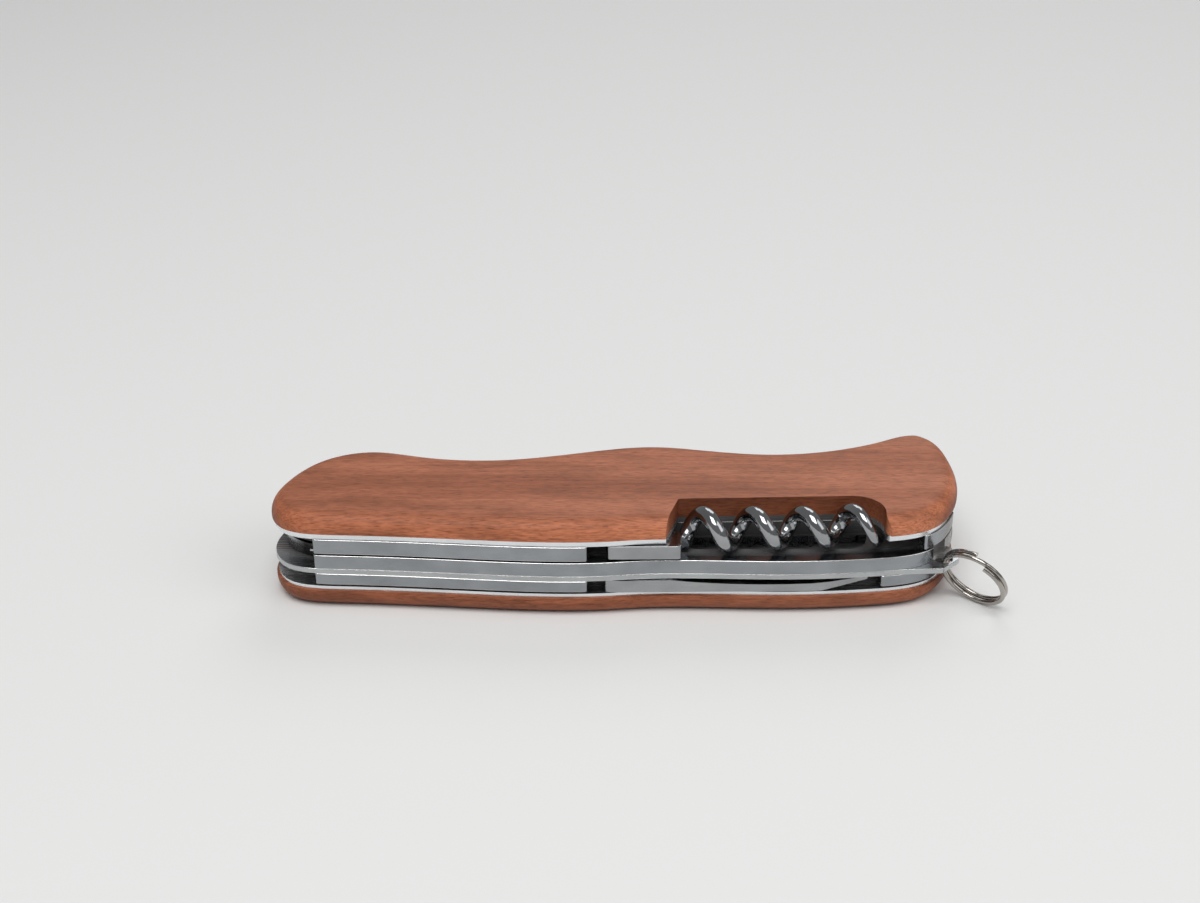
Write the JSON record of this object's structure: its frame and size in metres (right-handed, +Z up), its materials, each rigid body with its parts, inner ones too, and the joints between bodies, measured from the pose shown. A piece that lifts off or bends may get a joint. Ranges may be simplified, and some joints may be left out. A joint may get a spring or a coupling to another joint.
{
  "type": "folding pocket knife",
  "caption": "Folding pocket knife with rounded wooden scales, layered steel springs, locking blade, saw, openers, awl, corkscrew in an open bay and a split key ring.",
  "frame": {"origin": "middle of the handle's length and width on the flat of the rear scale, which lies on the table", "axes": "+X along the handle towards the key ring, +Y towards the side the blades open from, +Z up out of the front scale"},
  "size_m": [0.1164, 0.0355, 0.0172],
  "materials": {
    "walnut": "satin",
    "liner_alloy": "bright rolled",
    "divider_alloy": "bright rolled",
    "spring_steel": "polished",
    "pin_steel": "satin",
    "blade_steel": "satin ground",
    "tool_steel": "polished",
    "worm_steel": "bright",
    "ring_steel": "nickel bright"
  },
  "bodies": {
    "handle": {"front_scale": "walnut", "rear_scale": "walnut", "rear_liner": "liner_alloy", "lock_liner": "liner_alloy", "ring_divider": "divider_alloy", "thin_divider": "divider_alloy", "blade_spring": "spring_steel", "saw_spring": "spring_steel", "opener_spring": "spring_steel", "rivet_collars": "pin_steel", "blade_washer": "pin_steel", "blade_pivot": "pin_steel", "tail_pivot": "pin_steel", "back_tool_pin": "pin_steel", "spring_pin": "pin_steel"},
    "main_blade": {"main_blade": "blade_steel"},
    "wood_saw": {"wood_saw": "blade_steel"},
    "can_opener": {"can_opener": "tool_steel"},
    "bottle_opener": {"bottle_opener": "tool_steel"},
    "awl": {"awl": "tool_steel"},
    "corkscrew": {"corkscrew": "worm_steel"},
    "lock_leaf": {"lock_leaf": "liner_alloy"},
    "key_ring": {"key_ring": "ring_steel"}
  },
  "joints": [
    {"name": "main_blade_fold", "type": "hinge", "parent": "handle", "child": "main_blade", "pos_m": [-0.0465, -0.0032, 0.0109], "axis": [0, 0, 1], "range_deg": [0, 180]},
    {"name": "wood_saw_fold", "type": "hinge", "parent": "handle", "child": "wood_saw", "pos_m": [-0.0465, -0.0032, 0.00835], "axis": [0, 0, 1], "range_deg": [0, 180]},
    {"name": "can_opener_fold", "type": "hinge", "parent": "handle", "child": "can_opener", "pos_m": [-0.0465, -0.0032, 0.0051], "axis": [0, 0, 1], "range_deg": [0, 180]},
    {"name": "bottle_opener_fold", "type": "hinge", "parent": "handle", "child": "bottle_opener", "pos_m": [0.046, -0.001, 0.0051], "axis": [0, 0, -1], "range_deg": [0, 180]},
    {"name": "awl_fold", "type": "hinge", "parent": "handle", "child": "awl", "pos_m": [0.0003, -0.014, 0.0051], "axis": [0, 0, -1], "range_deg": [0, 90]},
    {"name": "corkscrew_fold", "type": "hinge", "parent": "handle", "child": "corkscrew", "pos_m": [0.0003, -0.014, 0.0111], "axis": [0, 0, -1], "range_deg": [0, 90]},
    {"name": "lock_leaf_flex", "type": "hinge", "parent": "handle", "child": "lock_leaf", "pos_m": [-0.008, 0.0036, 0.01285], "axis": [0, -1, 0], "range_deg": [0, 0.8], "stiffness_Nm_per_rad": 0.2},
    {"name": "key_ring_swing", "type": "hinge", "parent": "handle", "child": "key_ring", "pos_m": [0.05135, -0.0112, 0.0067], "axis": [0, 0, 1], "range_deg": [-55, 15]}
  ]
}
